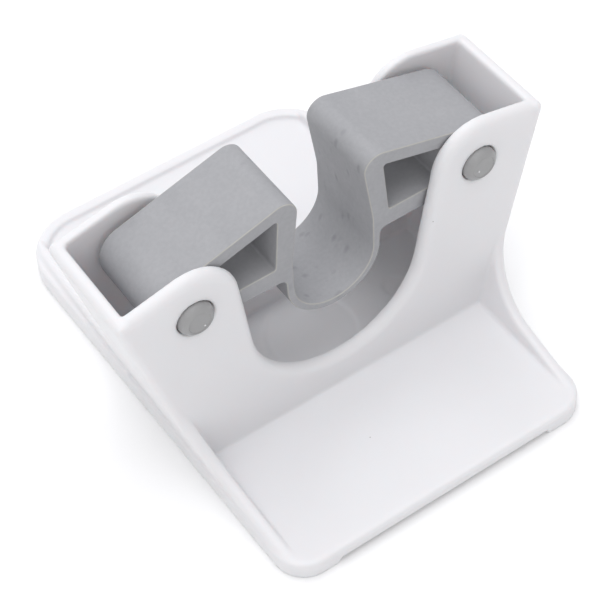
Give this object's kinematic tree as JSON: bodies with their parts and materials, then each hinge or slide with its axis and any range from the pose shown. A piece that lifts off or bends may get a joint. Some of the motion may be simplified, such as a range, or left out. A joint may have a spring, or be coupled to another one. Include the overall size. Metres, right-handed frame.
{
  "type": "hair dryer holder",
  "caption": "Adhesive wall holder with a sprung two-arm rubber gripper that clamps the handle of a hair dryer, in a notched open-topped housing on a shallow back plate.",
  "frame": {"origin": "middle of the mounting face, under the centre of the bounding box", "axes": "+Z away from the wall, +Y along the held handle towards the plate's longer end, +X across the two arms"},
  "size_m": [0.083, 0.092, 0.051],
  "materials": {
    "white_plastic": "satin moulded",
    "grey_rubber": "matte moulded",
    "grey_plastic": "satin moulded",
    "foam_pad": "matte foam"
  },
  "bodies": {
    "housing": {"holder_body": "white_plastic", "gripper_strap": "grey_rubber", "left_pivot_pin": "grey_plastic", "right_pivot_pin": "grey_plastic", "left_mounting_pad": "foam_pad", "right_mounting_pad": "foam_pad"},
    "left_arm": {"gripper_left_arm": "grey_rubber"},
    "right_arm": {"gripper_right_arm": "grey_rubber"}
  },
  "joints": [
    {"name": "left_arm_turn", "type": "hinge", "parent": "housing", "child": "left_arm", "pos_m": [-0.028, -0.00545, 0.0396], "axis": [0, 1, 0], "range_deg": [-6, 20], "stiffness_Nm_per_rad": 0.3, "deforming": ["gripper_strap"]},
    {"name": "right_arm_turn", "type": "hinge", "parent": "housing", "child": "right_arm", "pos_m": [0.028, -0.00545, 0.0396], "axis": [0, 1, 0], "range_deg": [-20, 6], "stiffness_Nm_per_rad": 0.3}
  ],
  "couplings": [
    {"joint": "right_arm_turn", "follows": "left_arm_turn", "ratio": -1}
  ]
}
